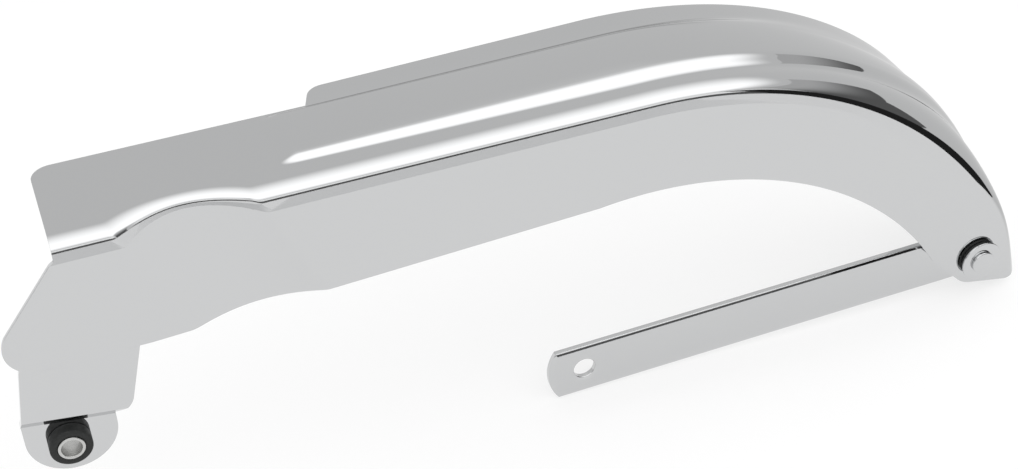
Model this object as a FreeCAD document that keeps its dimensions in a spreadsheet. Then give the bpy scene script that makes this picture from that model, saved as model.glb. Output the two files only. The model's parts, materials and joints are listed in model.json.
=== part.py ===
"""Upper belt guard: pressed chrome shell with a rubber-bushed front bracket and a riveted swinging strap.

Frame: millimetres, origin on the axis of the front bush. +X runs rearward along the guard, +Y inward
toward the wheel, +Z up. The flat side panel's outer face is the plane y = 0.
"""
import FreeCAD
import Part
import math
import os

import Sketcher
from FreeCAD import Vector

SIZES = {
    # section of the pressed sheet
    "sheet": 1.5, "crease_z": 87.2, "crease_blend": 0.6, "rim_height": 12.2, "overhang": 4.0,
    "nose_radius": 4.0, "ramp_width": 6.0, "crown_height": 3.2, "crown_front": 13.5, "crown_back": 42.0,
    "back_edge": 63.5,
    # top outline along the run
    "top_front": 9.9, "front_back_edge": 47.0, "step_x": 118.5, "step_back_edge": 59.5,
    "corner_radius": 8.0, "crown_start": 103.0, "crown_run_in": 10.0, "crown_taper": 5.0,
    "crown_front_share": 0.6,
    # clearance dent for the shock absorber
    "dent_x": 62.7, "dent_half_width": 26.7, "dent_depth": 6.0, "dent_rim_depth": 5.0, "dent_rise": 6.6,
    "dent_sharpen": 1.2, "dent_lean": 23.5,
    # wrap over the rear pulley, angles in degrees past the straight run
    "wrap_x": 245.7, "wrap_radius": 206.25, "wrap_angle": 74.0, "fade_angle": 44.5, "fade_rate": 0.508,
    "fade_softness": 3.0, "ramp_spread": 17.0, "nose_root": 0.8, "nose_tilt": 0.17,
    # side panel outline
    "panel_bottom": 41.3, "bottom_flat_end": 38.7, "lobe_x": -3.7, "lobe_radius": 12.0, "front_slope": 38.5,
    "front_corner": 2.3, "inner_depth": 36.25, "inner_start": -7.3, "inner_end": 58.5,
    "tip_margin": 13.9, "heel_x": 17.3, "heel_drop": 12.6, "heel_radius": 5.0,
    # rear pivot
    "pivot_angle": 63.8, "pivot_inset": 17.05, "panel_hole": 13.0, "ring_od": 18.6, "ring_front": 2.0,
    "ring_back": 4.0, "washer_od": 20.0, "washer_thick": 1.0, "rivet_head": 11.0, "rivet_head_high": 1.4,
    "rivet_shank": 8.0, "rivet_tail": 12.4, "rivet_tail_high": 1.6, "running_gap": 0.08,
    # support strap
    "strap_width": 25.4, "strap_thick": 3.0, "strap_centres": 195.2, "strap_drop": 2.4, "strap_offset": 4.2,
    "strap_set_from": 14.0, "strap_set_to": 88.0, "strap_hole": 10.0, "strap_end_radius": 22.0,
    "strap_end": 17.0,
    # front bracket
    "bracket_thick": 2.5, "bracket_joggle": 4.0, "bracket_lean": 8.3, "bend_z": 9.6, "bend_high": 5.0,
    "bend_ease": 0.9, "plate_top": 66.0, "plate_top_front": -3.5, "plate_top_rear": 35.5,
    "plate_edge_front": -11.9, "plate_edge_rear": 34.0, "plate_foot_front": -16.7, "plate_foot_front_z": 12.0,
    "plate_foot_rear": 25.4, "plate_foot_rear_z": 8.6, "bracket_corner": 5.0,
    "tab_x": 1.4, "tab_z": 2.8, "tab_radius": 18.0, "tab_neck": 9.6,
    # front bush
    "bush_hole": 13.0, "bush_od": 17.0, "bush_front": 5.2, "bush_back": 3.0, "bush_back_od": 15.8,
    "sleeve_od": 10.2, "sleeve_bore": 8.2, "sleeve_proud": 0.5,
    # edge breaks, and how far cutting shapes reach past the work
    "rubber_round": 0.8, "edge_break": 0.25, "reach": 60.0,
}


class Dim:
    """A size with both its number and the expression that reads it from the sheet."""

    def __init__(self, value, text):
        self.value, self.text = value, text

    @staticmethod
    def of(other):
        return other if isinstance(other, Dim) else Dim(float(other), f"{float(other):.6f}")

    def _join(self, other, sign, result):
        return Dim(result, f"({self.text} {sign} {Dim.of(other).text})")

    def __add__(self, other):
        return self._join(other, "+", self.value + Dim.of(other).value)

    def __sub__(self, other):
        return self._join(other, "-", self.value - Dim.of(other).value)

    def __mul__(self, other):
        return self._join(other, "*", self.value * Dim.of(other).value)

    def __truediv__(self, other):
        return self._join(other, "/", self.value / Dim.of(other).value)

    def __neg__(self):
        return Dim(-self.value, f"(0 - {self.text})")

    def sine(self):
        return Dim(math.sin(math.radians(self.value)), f"sin({self.text} * 1deg)")

    def cosine(self):
        return Dim(math.cos(math.radians(self.value)), f"cos({self.text} * 1deg)")


doc = FreeCAD.newDocument("belt_guard")
sheet = doc.addObject("Spreadsheet::Sheet", "sizes")
for row, (name, number) in enumerate(SIZES.items(), start=1):
    sheet.set(f"A{row}", name)
    sheet.set(f"B{row}", str(number))
    sheet.setAlias(f"B{row}", name)
doc.recompute()


def val(name):
    return float(sheet.get(name))


def dim(name):
    return Dim(val(name), f"sizes.{name}")


def bind(obj, **bindings):
    """Bind properties of a document object to sizes; a double underscore stands for a dot."""
    for prop, size in bindings.items():
        obj.setExpression(prop.replace("__", "."), Dim.of(size).text)


REACH = dim("reach")
ZERO = Dim.of(0)


def primitive(kind, name, **bindings):
    obj = doc.addObject(f"Part::{kind}", name)
    bind(obj, **bindings)
    return obj


def y_cylinder(name, radius, x, z):
    """A long cutting cylinder along Y through (x, z)."""
    obj = primitive("Cylinder", name, Radius=radius, Height=REACH * 2)
    obj.Placement = FreeCAD.Placement(Vector(), FreeCAD.Rotation(Vector(1, 0, 0), -90))
    bind(obj, Placement__Base__x=x, Placement__Base__y=-REACH, Placement__Base__z=z)
    return obj


def boolean(kind, name, first, second):
    obj = doc.addObject(f"Part::{kind}", name)
    obj.Base, obj.Tool = first, second
    obj.Refine = True
    return obj


def fused(name, shapes):
    obj = doc.addObject("Part::MultiFuse", name)
    obj.Shapes = shapes
    obj.Refine = True
    return obj


def polygon_sketch(body, name, plane, points):
    """A closed polygon on one of the body's origin planes, every corner driven by the sheet."""
    sketch = body.newObject("Sketcher::SketchObject", name)
    origin = next(f for f in body.Origin.OriginFeatures if f.Role == plane)
    sketch.AttachmentSupport = (origin, "")
    sketch.MapMode = "FlatFace"
    spots = [Vector(u.value, v.value, 0) for u, v in points]
    for i, spot in enumerate(spots):
        sketch.addGeometry(Part.LineSegment(spot, spots[(i + 1) % len(spots)]), False)
    for i in range(len(spots)):
        sketch.addConstraint(Sketcher.Constraint("Coincident", i, 2, (i + 1) % len(spots), 1))
    for i, (u, v) in enumerate(points):
        for axis, size in (("DistanceX", u), ("DistanceY", v)):
            index = sketch.addConstraint(Sketcher.Constraint(axis, -1, 1, i, 1, size.value))
            sketch.setExpression(f"Constraints[{index}]", size.text)
    return sketch


def turned(name, points, x=ZERO, z=ZERO):
    """A body of revolution about the Y axis through (x, z); points are (radius, y)."""
    body = doc.addObject("PartDesign::Body", name)
    profile = polygon_sketch(body, f"{name}_profile", "XY_Plane", points)
    turn = body.newObject("PartDesign::Revolution", f"{name}_turn")
    turn.Profile = profile
    turn.ReferenceAxis = (profile, ["V_Axis"])
    turn.Angle = 360
    bind(body, Placement__Base__x=x, Placement__Base__z=z)
    return body


def padded(name, plane, points, length, **bindings):
    """A polygon padded both ways from an origin plane of its body."""
    body = doc.addObject("PartDesign::Body", name)
    profile = polygon_sketch(body, f"{name}_profile", plane, points)
    pad = body.newObject("PartDesign::Pad", f"{name}_pad")
    pad.Profile = profile
    pad.Midplane = True
    bind(pad, Length=length)
    bind(body, **bindings)
    return body


def rounded(name, base, direction, spots, radius, nearby=1.5):
    """Round the edges of an object that run along a direction and pass near one of the spots."""
    doc.recompute()
    found = []
    for number, edge in enumerate(base.Shape.Edges, start=1):
        start, end = edge.Vertexes[0].Point, edge.Vertexes[-1].Point
        along = (end - start).Length > 0.5 and (end - start).cross(direction).Length < 0.05
        if along and any((start - spot).cross(direction).Length < nearby for spot in spots):
            found.append((number, radius, radius))
    obj = doc.addObject("Part::Fillet", name)
    obj.Base, obj.Edges = base, found
    return obj


# Pressed shell: sections of the sheet, lofted along the run and over the pulley

QUARTER = 0.5523  # handle of a cubic curve that follows a quarter circle


def smooth(t):
    t = min(max(t, 0.0), 1.0)
    return t * t * (3 - 2 * t)


def sheet_section(rim, nose_y, nose_r, panel_y, crease, tilt, crown, front, back, ramp, back_level):
    """Closed wire of the sheet in its (y, height over the crease) plane, drawn at x = 0.

    From the back edge: ledge, ramp up, bowed crown, ramp down, ledge, nose, undercut, side panel.
    """
    thick, back_y = val("sheet"), val("back_edge")
    foot_z = val("panel_bottom") - val("crease_z") - val("reach") / 2

    def line(a, b):
        return Part.makeLine(Vector(0, *a), Vector(0, *b))

    def curve(*poles):
        bezier = Part.BezierCurve()
        bezier.setPoles([Vector(0, *pole) for pole in poles])
        return bezier.toShape()

    def skin(inset):
        """Edges of one side of the sheet, inset from its outer face."""
        radius, shift = nose_r - inset, 0.27 * inset
        ledge, high, low, behind = rim - inset, rim + crown - inset, rim - nose_r, back_level - inset
        hand, droop, bow = 0.45 * ramp, 0.12 * crown, 0.22 * crown
        arm = 0.28 * (back - front)
        foot = min(crease, low - nose_r * 0.6)
        back_foot, back_top = back + ramp - shift, back - shift
        front_top, front_foot = front + shift, front - ramp + shift
        nose_top, nose_out, panel = nose_y + nose_r, nose_y + inset, panel_y + inset
        return [
            line((back_y, behind), (back_foot, behind)),
            curve((back_foot, behind), (back_foot - hand, behind), (back_top + hand, high - droop),
                  (back_top, high)),
            curve((back_top, high), (back_top - arm, high + bow), (front_top + arm, high + bow),
                  (front_top, high)),
            curve((front_top, high), (front_top - hand, high - droop), (front_foot + hand, ledge),
                  (front_foot, ledge)),
            line((front_foot, ledge), (nose_top, ledge)),
            curve((nose_top, ledge), (nose_top - QUARTER * radius, ledge),
                  (nose_out + tilt * QUARTER * radius, low + QUARTER * radius), (nose_out, low)),
            line((nose_out, low), (panel, foot)),
            line((panel, foot), (panel, foot_z)),
        ]

    bottom = line((panel_y, foot_z), (panel_y + thick, foot_z))
    rear = line((back_y, back_level - thick), (back_y, back_level))
    inner = [edge.reversed() for edge in reversed(skin(thick))]
    return Part.Wire(skin(0.0) + [bottom] + inner + [rear])


def straight_section(x, crown_share, dent=0.0, lean=True):
    """Section of the straight run at x, leaning with the dent so that it can follow its trough.

    dent runs from 0 beside the trough to 1 on its axis, where the crease comes up under the rim.
    """
    front_share = val("crown_front_share")
    taper = val("crown_taper") * (1 - min(crown_share / front_share, 1))
    wire = sheet_section(
        rim=val("rim_height"), nose_y=-val("overhang") + dent * (val("overhang") + val("dent_rim_depth")),
        nose_r=val("nose_radius") - val("dent_sharpen") * dent * dent, panel_y=val("dent_depth") * dent,
        crease=val("crease_blend") + val("dent_rise") * dent, tilt=0.0,
        crown=val("crown_height") * crown_share, front=val("crown_front") + taper,
        back=val("crown_back") - taper, ramp=val("ramp_width") * max(crown_share, front_share),
        back_level=val("rim_height"))
    place = FreeCAD.Matrix()
    place.A13 = -math.tan(math.radians(val("dent_lean"))) if lean else 0.0
    place.A14, place.A34 = x, val("crease_z")
    return wire.transformGeometry(place)


def rim_drop(angle):
    """How far the rim sinks toward the panel's edge near the tip: a soft bend into a straight fade."""
    softness = val("fade_softness")
    return val("fade_rate") * softness * math.log(1 + math.exp((angle - val("fade_angle")) / softness))


def wrap_section(angle):
    """Section of the wrap over the pulley: the undercut closes, the nose swells and the ramps flatten."""
    spread = val("ramp_spread") * smooth(angle / 55)
    rim = val("rim_height") - rim_drop(angle) + rim_drop(0)
    room = rim - val("nose_root") - val("nose_radius")
    swell = room * smooth(angle / 55) * smooth((68 - angle) / 14)
    crown = val("crown_height")
    wire = sheet_section(
        rim=rim, nose_y=-val("overhang") * smooth(1 - angle / 60), nose_r=val("nose_radius") + swell,
        panel_y=0.0, crease=val("crease_blend"), tilt=val("nose_tilt") * smooth(angle / 36), crown=crown,
        front=val("crown_front") + spread, back=val("crown_back"), ramp=val("ramp_width") + 0.55 * spread,
        back_level=rim + crown * smooth(angle / 40))
    wire.translate(Vector(0, 0, val("wrap_radius")))
    wire.rotate(Vector(), Vector(0, 1, 0), angle)
    wire.translate(Vector(val("wrap_x"), 0, val("crease_z") - val("wrap_radius")))
    return wire


def formed(name, wires, ruled=True):
    """A length of the shell through its sections: in straight lengths from one to the next, or smoothly."""
    obj = doc.addObject("Part::Feature", name)
    obj.Shape = Part.makeLoft(wires, True, ruled)
    return obj


DENT_STEPS, CROWN_STEPS, WRAP_STEPS = 6, 4, 15
dent_half = val("dent_half_width")
dent_start, dent_end = val("dent_x") - dent_half, val("dent_x") + dent_half
crown_from = max(val("crown_start"), dent_end + val("nose_radius"))
crown_full, crown_first = crown_from + val("crown_run_in"), val("crown_front_share")
dent_places = [2 * i / DENT_STEPS - 1 for i in range(DENT_STEPS + 1)]
crown_places = [i / CROWN_STEPS for i in range(CROWN_STEPS + 1)]
wrap_places = [val("wrap_angle") * i / WRAP_STEPS for i in range(WRAP_STEPS + 1)]
shell_blank = fused("shell_blank", [
    formed("shell_front", [straight_section(-val("reach"), 0), straight_section(dent_start, 0)]),
    formed("shell_dent", [straight_section(val("dent_x") + dent_half * u, 0, 1 - u * u) for u in dent_places],
           ruled=False),
    formed("shell_plain", [straight_section(dent_end, 0), straight_section(crown_from, 0)]),
    formed("shell_rise", [straight_section(crown_from + val("crown_run_in") * u, crown_first * smooth(u))
                          for u in crown_places], ruled=False),
    formed("shell_run", [straight_section(crown_full, crown_first),
                         straight_section(val("wrap_x"), 1, lean=False)]),
    formed("shell_wrap", [wrap_section(angle) for angle in wrap_places]),
])

# Trimming of the pressed blank: side outline, top outline, pivot hole

pivot_reach = dim("wrap_radius") - dim("pivot_inset")
hub_z = dim("crease_z") - dim("wrap_radius")
pivot_x = dim("wrap_x") + pivot_reach * dim("pivot_angle").sine()
pivot_z = hub_z + pivot_reach * dim("pivot_angle").cosine()


def around(centre, radius, degrees):
    """Point on a circle in the side view; degrees count from +X toward +Z."""
    angle = math.radians(degrees)
    return Vector(centre.x + radius * math.cos(angle), 0, centre.z + radius * math.sin(angle))


def panel_outline():
    """Face of the side outline kept from the blank, in the plane y = 0."""
    bottom, top, far = val("panel_bottom"), val("crease_z") + val("reach"), pivot_x.value + val("reach")
    lobe = Vector(val("lobe_x"), 0, bottom + val("lobe_radius"))
    lobe_top = around(lobe, val("lobe_radius"), 180 - val("front_slope"))
    corner_z = val("crease_z") + val("front_corner")
    front_run = (corner_z - lobe_top.z) * math.tan(math.radians(val("front_slope")))
    corner = Vector(lobe_top.x + front_run, 0, corner_z)
    hub, inner_r = Vector(val("wrap_x"), 0, hub_z.value), val("wrap_radius") - val("inner_depth")
    inner_start = around(hub, inner_r, 90 - val("inner_start"))
    inner_middle = around(hub, inner_r, 90 - (val("inner_start") + val("inner_end")) / 2)
    inner_end = around(hub, inner_r, 90 - val("inner_end"))
    # the tip is a rounded lobe about the pivot, tangent to the inner edge and to the rounded heel
    pivot = Vector(pivot_x.value, 0, pivot_z.value)
    margin, heel_r = val("tip_margin"), val("heel_radius")
    heel = pivot + Vector(val("heel_x"), 0, -val("heel_drop"))
    inward, across = pivot - inner_end, heel - pivot
    foot_from = math.degrees(math.atan2(inward.z, inward.x) - math.asin(margin / inward.Length)) - 90
    foot_to = math.degrees(math.atan2(across.z, across.x) + math.asin((margin - heel_r) / across.Length)) - 90
    heel_to = 10.0
    foot = [around(pivot, margin, a) for a in (foot_from, (foot_from + foot_to) / 2, foot_to)]
    heel_arc = [around(heel, heel_r, a) for a in (foot_to, (foot_to + heel_to) / 2, heel_to)]
    edges = [
        Part.makeLine(corner, lobe_top),
        Part.Arc(lobe_top, around(lobe, val("lobe_radius"), 215), Vector(lobe.x, 0, bottom)).toShape(),
        Part.makeLine(Vector(lobe.x, 0, bottom), Vector(val("bottom_flat_end"), 0, bottom)),
        Part.makeLine(Vector(val("bottom_flat_end"), 0, bottom), inner_start),
        Part.Arc(inner_start, inner_middle, inner_end).toShape(),
        Part.makeLine(inner_end, foot[0]),
        Part.Arc(*foot).toShape(),
        Part.makeLine(foot[2], heel_arc[0]),
        Part.Arc(*heel_arc).toShape(),
        Part.makePolygon([heel_arc[2], Vector(far, 0, pivot.z + val("reach")), Vector(far, 0, top),
                          Vector(corner.x, 0, top), corner]),
    ]
    return Part.Face(Part.Wire([edge for shape in edges for edge in shape.Edges]))


outline = doc.addObject("Part::Feature", "panel_outline")
outline.Shape = panel_outline()
side_keep = doc.addObject("Part::Extrusion", "side_keep")
side_keep.Base, side_keep.DirMode, side_keep.Dir, side_keep.Solid = outline, "Custom", Vector(0, 1, 0), True
bind(side_keep, LengthFwd=dim("back_edge") + REACH, LengthRev=REACH)
shell_sides = boolean("Common", "shell_sides", shell_blank, side_keep)

far_front, far_back = dim("top_front") - REACH * 2, dim("back_edge") + REACH
top_trim = padded(
    "top_trim", "XY_Plane",
    [(far_front, -REACH), (dim("top_front"), -REACH), (dim("top_front"), dim("front_back_edge")),
     (dim("step_x"), dim("front_back_edge")), (dim("step_x"), dim("step_back_edge")),
     (dim("wrap_x"), dim("back_edge") + 0.01), (dim("wrap_x"), far_back), (far_front, far_back)],
    REACH, Placement__Base__z=dim("crease_z") + dim("front_corner") + REACH / 2)
shell_top = boolean("Cut", "shell_top", shell_sides, top_trim)
pivot_bore = y_cylinder("pivot_bore", dim("panel_hole") / 2, pivot_x, pivot_z)
shell_bored = boolean("Cut", "shell_bored", shell_top, pivot_bore)
guard_shell = rounded("guard_shell", shell_bored, Vector(0, 0, 1), [
    Vector(val("top_front"), val("front_back_edge"), 0), Vector(val("step_x"), val("step_back_edge"), 0)],
    val("corner_radius"))

# Front bracket: joggled plate welded behind the panel, with a rounded tab for the bush

plate, plate_face = dim("bracket_thick"), dim("sheet")
tab_face = plate_face + dim("bracket_joggle")
tab_back = tab_face + plate
bend_low, bend_top = dim("bend_z"), dim("bend_z") + dim("bend_high")
strip_top, strip_end = dim("plate_top") + REACH, -dim("tab_radius") - REACH
bracket_strip = padded(
    "bracket_strip", "YZ_Plane",
    [(plate_face, strip_top), (plate_face, bend_top), (tab_face, bend_low), (tab_face, strip_end),
     (tab_back, strip_end), (tab_back, bend_low + dim("bend_ease")),
     (plate_face + plate, bend_top + dim("bend_ease")), (plate_face + plate, strip_top)],
    REACH * 3)
bracket_strip.Placement = FreeCAD.Placement(Vector(), FreeCAD.Rotation(Vector(0, 1, 0), val("bracket_lean")))
bracket_plate = padded(
    "bracket_plate", "XZ_Plane",
    [(dim("plate_top_front"), dim("plate_top")), (dim("plate_top_rear"), dim("plate_top")),
     (dim("plate_edge_rear"), dim("panel_bottom")), (dim("plate_foot_rear"), dim("plate_foot_rear_z")),
     (dim("plate_foot_front"), dim("plate_foot_front_z")), (dim("plate_edge_front"), dim("panel_bottom"))],
    REACH)
tab_round = y_cylinder("tab_round", dim("tab_radius"), dim("tab_x"), dim("tab_z"))
tab_neck = primitive("Box", "tab_neck", Length=dim("tab_radius") * 2, Width=REACH, Height=dim("tab_neck"),
                     Placement__Base__x=dim("tab_x") - dim("tab_radius"), Placement__Base__y=-REACH / 2,
                     Placement__Base__z=dim("tab_z"))
bracket_outline = fused("bracket_outline", [bracket_plate, tab_round, tab_neck])
bracket_shape = boolean("Common", "bracket_shape", bracket_strip, bracket_outline)
bush_bore = y_cylinder("bush_bore", dim("bush_hole") / 2, ZERO, ZERO)
bracket_bored = boolean("Cut", "bracket_bored", bracket_shape, bush_bore)
front_bracket = rounded("front_bracket", bracket_bored, Vector(0, 1, 0),
                        [Vector(val("plate_foot_rear"), 0, val("plate_foot_rear_z"))], val("bracket_corner"))

# Front bush: rubber grommet snapped into the tab, with a steel sleeve for the mounting bolt

bush_front, bush_back = tab_face - dim("bush_front"), tab_back + dim("bush_back")
bush_r, bush_back_r, hole_r = dim("bush_od") / 2, dim("bush_back_od") / 2, dim("bush_hole") / 2
sleeve_r, bore_r = dim("sleeve_od") / 2, dim("sleeve_bore") / 2
soft_edge, hard_edge = dim("rubber_round"), dim("edge_break")
front_grommet = turned("front_grommet", [
    (sleeve_r, bush_front), (bush_r - soft_edge, bush_front), (bush_r, bush_front + soft_edge),
    (bush_r, tab_face), (hole_r, tab_face), (hole_r, tab_back), (bush_back_r, tab_back),
    (bush_back_r - soft_edge, bush_back), (sleeve_r, bush_back)])
sleeve_front, sleeve_back = bush_front - dim("sleeve_proud"), bush_back + dim("sleeve_proud")
front_sleeve = turned("front_sleeve", [
    (bore_r, sleeve_front), (sleeve_r - hard_edge, sleeve_front), (sleeve_r, sleeve_front + hard_edge),
    (sleeve_r, sleeve_back), (bore_r, sleeve_back)])

# Rear pivot: rubber ring in the panel, chrome washer and rivet that carry the strap

gap, sheet_back = dim("running_gap"), dim("sheet")
ring_front, ring_back = -dim("ring_front"), sheet_back + dim("ring_back")
shank_r, ring_r, neck_r = dim("rivet_shank") / 2, dim("ring_od") / 2, dim("panel_hole") / 2
rear_grommet = turned("rear_grommet", [
    (shank_r + gap, ring_front), (ring_r - soft_edge, ring_front), (ring_r, ring_front + soft_edge),
    (ring_r, ZERO), (neck_r, ZERO), (neck_r, sheet_back), (ring_r, sheet_back),
    (ring_r - soft_edge, ring_back), (shank_r + gap, ring_back)], pivot_x, pivot_z)
washer_back = ring_front - gap
washer_face, washer_r = washer_back - dim("washer_thick"), dim("washer_od") / 2
pivot_washer = turned("pivot_washer", [
    (shank_r, washer_face), (washer_r - hard_edge, washer_face), (washer_r, washer_face + hard_edge),
    (washer_r, washer_back), (shank_r, washer_back)], pivot_x, pivot_z)
head_r, tail_r = dim("rivet_head") / 2, dim("rivet_tail") / 2
head_face = washer_face - dim("rivet_head_high")
strap_face = ring_back + gap
strap_back = strap_face + dim("strap_thick")
tail_end = strap_back + dim("rivet_tail_high")
pivot_rivet = turned("pivot_rivet", [
    (ZERO, head_face), (head_r - hard_edge * 2, head_face), (head_r, head_face + hard_edge * 2),
    (head_r, washer_face), (shank_r, washer_face), (shank_r, strap_back), (tail_r, strap_back),
    (tail_r * 0.75, tail_end), (ZERO, tail_end)], pivot_x, pivot_z)

# Support strap: flat bar set gently inward from the pivot, with a bolt hole in its free end

bar, centres = dim("strap_thick"), dim("strap_centres")
free_face = strap_face + dim("strap_offset")
set_from, set_to, past = -dim("strap_set_from"), -dim("strap_set_to"), -centres - REACH
strap_strip = padded(
    "strap_strip", "XY_Plane",
    [(REACH, strap_face), (set_from, strap_face), (set_to, free_face), (past, free_face),
     (past, free_face + bar), (set_to, free_face + bar), (set_from, strap_back), (REACH, strap_back)],
    dim("strap_width"))
half_width, end_r = dim("strap_width") / 2, dim("strap_end_radius")
end_x = -centres - dim("strap_end") + end_r
strap_middle = primitive("Box", "strap_middle", Length=-end_x, Width=REACH * 2, Height=dim("strap_width"),
                         Placement__Base__x=end_x, Placement__Base__y=-REACH, Placement__Base__z=-half_width)
strap_outline = fused("strap_outline", [
    strap_middle, y_cylinder("strap_tip", end_r, end_x, ZERO),
    y_cylinder("strap_heel", half_width, ZERO, ZERO)])
strap_blank = boolean("Common", "strap_blank", strap_strip, strap_outline)
strap_bores = fused("strap_bores", [
    y_cylinder("bolt_bore", dim("strap_hole") / 2, -centres, ZERO),
    y_cylinder("rivet_bore", shank_r, ZERO, ZERO)])
support_strap = boolean("Cut", "support_strap", strap_blank, strap_bores)
support_strap.Placement = FreeCAD.Placement(
    Vector(pivot_x.value, 0, pivot_z.value), FreeCAD.Rotation(Vector(0, 1, 0), -val("strap_drop")))

doc.recompute()
for obj in doc.Objects:
    if "Invalid" in obj.State or "Error" in obj.State:
        raise RuntimeError(f"{obj.Name} did not build: {obj.State}")

os.makedirs("parts", exist_ok=True)
for node in (guard_shell, front_bracket, front_grommet, front_sleeve, rear_grommet, pivot_washer, pivot_rivet,
             support_strap):
    if node.Shape.isNull() or not node.Shape.isValid() or len(node.Shape.Solids) != 1:
        raise RuntimeError(f"{node.Name} is not one valid solid")
    node.Shape.exportStep(f"parts/{node.Name}.step")
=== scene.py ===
"""Looks of the upper belt guard: polished chrome sheet and bar, rubber bushes, and a plain white studio.

The CAD frame gives every place. Sizes of the part are in millimetres, as on its drawing, and sizes of the
studio in metres. Pieces are built in the frame's own axes: +X rearward, +Y toward the wheel, +Z up, with the
side panel's outer face at y = 0 and the front bush's axis at the origin.
"""
import json
import math

import bmesh
import bpy
import numpy as np
from mathutils import Matrix, Vector


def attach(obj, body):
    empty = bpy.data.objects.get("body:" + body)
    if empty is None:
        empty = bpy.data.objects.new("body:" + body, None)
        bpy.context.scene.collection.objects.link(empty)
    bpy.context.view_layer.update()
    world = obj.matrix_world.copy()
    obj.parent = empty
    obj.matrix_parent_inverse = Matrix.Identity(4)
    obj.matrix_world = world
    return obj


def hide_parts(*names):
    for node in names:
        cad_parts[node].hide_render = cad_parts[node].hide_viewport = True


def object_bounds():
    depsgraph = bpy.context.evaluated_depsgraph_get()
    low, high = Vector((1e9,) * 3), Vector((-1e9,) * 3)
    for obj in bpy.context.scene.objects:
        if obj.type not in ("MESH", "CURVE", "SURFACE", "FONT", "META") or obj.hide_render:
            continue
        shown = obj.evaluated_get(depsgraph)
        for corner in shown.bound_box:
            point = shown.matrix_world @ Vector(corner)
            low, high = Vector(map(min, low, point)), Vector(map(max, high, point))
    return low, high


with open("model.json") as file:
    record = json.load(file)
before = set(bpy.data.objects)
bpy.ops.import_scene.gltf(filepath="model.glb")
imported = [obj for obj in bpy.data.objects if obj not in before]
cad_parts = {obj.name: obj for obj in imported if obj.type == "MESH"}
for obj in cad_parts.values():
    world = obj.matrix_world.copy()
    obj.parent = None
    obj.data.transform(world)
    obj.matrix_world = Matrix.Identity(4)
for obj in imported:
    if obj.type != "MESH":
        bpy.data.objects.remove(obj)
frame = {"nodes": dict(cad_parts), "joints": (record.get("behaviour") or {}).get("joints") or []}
cad_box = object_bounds()
nodes = frame["nodes"]
MM = 0.001

# Section of the pressed sheet; the rim's height counts from the crease, and the crown's from the rim
SHEET = 1.5
CREASE_Z, CREASE_BLEND = 87.2, 0.2
RIM_HEIGHT, OVERHANG = 12.2, 4.7
NOSE_RADIUS, NOSE_STRETCH = 4.0, 1.8
RAMP_WIDTH, BACK_RAMP = 6.0, 1.4  # the back ramp is that many times as wide as the front one
CROWN_HEIGHT, CROWN_FRONT, CROWN_BACK = 3.2, 13.5, 42.0
BACK_EDGE, PANEL_DEPTH = 63.5, 76.0

# Curves of the section, as shares of the sizes above
RAMP_HAND, RAMP_DROOP = 0.45, 0.12
CROWN_ARM, CROWN_BOW = 0.28, 0.22
UNDERCUT_SHARE, BEND_SHIFT = 0.6, 0.27
QUARTER = 0.5523  # handle of a cubic curve that follows a quarter circle

# Top outline along the run
TOP_FRONT, FRONT_BACK_EDGE = 9.9, 47.0
STEP_X, STEP_BACK_EDGE, STEP_LEAN = 120.4, 59.5, 20.0
CORNER_RADIUS, TRIM_SLACK = 8.0, 0.05
CROWN_START, CROWN_RUN_IN, CROWN_FRONT_SHARE = 103.0, 10.0, 0.6

# Clearance dent
DENT_X, DENT_HALF, DENT_LEAN = 62.7, 26.7, 23.5
DENT_DEPTH, DENT_RIM_DEPTH, DENT_RISE = 6.0, 4.4, 6.6
DENT_SHARPEN, DENT_EDGE = 1.2, 0.035

# Wrap over the pulley, with angles in degrees past the straight run
WRAP_X, WRAP_RADIUS, WRAP_ANGLE = 245.7, 206.25, 74.0
FADE_ANGLE, FADE_RATE, FADE_SOFTNESS = 44.5, 0.508, 3.0
OPEN_ANGLE, RAMP_SPREAD, RAMP_SHARE = 55.0, 17.0, 0.55
SWELL_END, SWELL_FADE, NOSE_ROOT = 68.0, 14.0, 0.8
NOSE_TILT, TILT_ANGLE = 0.17, 36.0
OVERHANG_END, BACK_RISE_ANGLE = 60.0, 40.0

# Side outline
PANEL_BOTTOM, BOTTOM_FLAT_END = 41.3, 38.7
LOBE_X, LOBE_RADIUS = -3.7, 12.0
FRONT_SLOPE, FRONT_CORNER = 38.5, 2.3
INNER_DEPTH, INNER_START, INNER_END = 36.25, -7.3, 58.5
TIP_MARGIN, PANEL_HOLE = 13.9, 13.0
HEEL_X, HEEL_DROP, HEEL_RADIUS, HEEL_TO = 17.3, 12.6, 5.0, 10.0
REACH = 60.0  # how far a cutting tool stands past the part

# Samples of the shell: points in each stretch of the section, and (start, end, step) along the run
SAMPLES = {"ledge": 3, "back_ramp": 12, "crown": 18, "front_ramp": 14, "front_ledge": 3, "nose": 16,
           "undercut": 14, "panel": 26}
PANEL_CROWDING = 2.0  # power that draws the panel's samples toward the crease
RUN_STRETCHES = ((-45, 20, 6), (20, 120, 0.8), (120, 136, 2), (136, WRAP_X, 7))
WRAP_STATIONS, LEAN_PASSES = 150, 2
INNER_STEPS, CORNER_STEPS, BORE_STEPS = 90, 16, 48
SHELL_SHARP, TURNED_SHARP = 15, 35  # edges sharper than this many degrees stay sharp

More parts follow.
